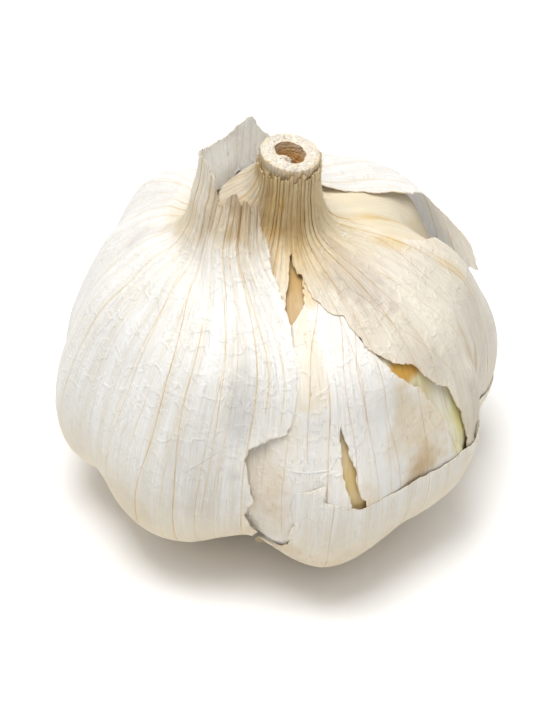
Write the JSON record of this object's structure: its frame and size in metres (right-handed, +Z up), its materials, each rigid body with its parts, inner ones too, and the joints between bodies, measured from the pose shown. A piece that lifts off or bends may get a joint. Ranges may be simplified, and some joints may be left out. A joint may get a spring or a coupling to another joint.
{
  "type": "garlic bulb",
  "caption": "Hardneck garlic bulb standing on its flat root plate, with torn papery skins, bare cloves showing and a cut hollow stalk.",
  "frame": {"origin": "on the surface that the bulb stands on, under the middle of its bounding box", "axes": "+Z up along the stalk; -Y towards the torn front, where the outer skin has opened; +X to the right as seen from there"},
  "size_m": [0.0604, 0.0614, 0.0546],
  "materials": {
    "stalk": "dry and fibrous",
    "clove": "smooth, faintly glossy clove skin",
    "inner_skin": "matte, papery and cream, with brown veins",
    "middle_skin": "matte and papery, off-white, with fine veins",
    "outer_skin": "matte to satin, papery and nearly white, with fine veins"
  },
  "bodies": {
    "root": {"stalk_and_root_plate": "stalk", "clove_1": "clove", "clove_2": "clove", "clove_3": "clove", "clove_4": "clove", "clove_5": "clove", "clove_6": "clove", "clove_7": "clove", "clove_8": "clove", "clove_9": "clove", "inner_skin": "inner_skin", "middle_skin": "middle_skin", "outer_skin": "outer_skin"}
  },
  "joints": []
}
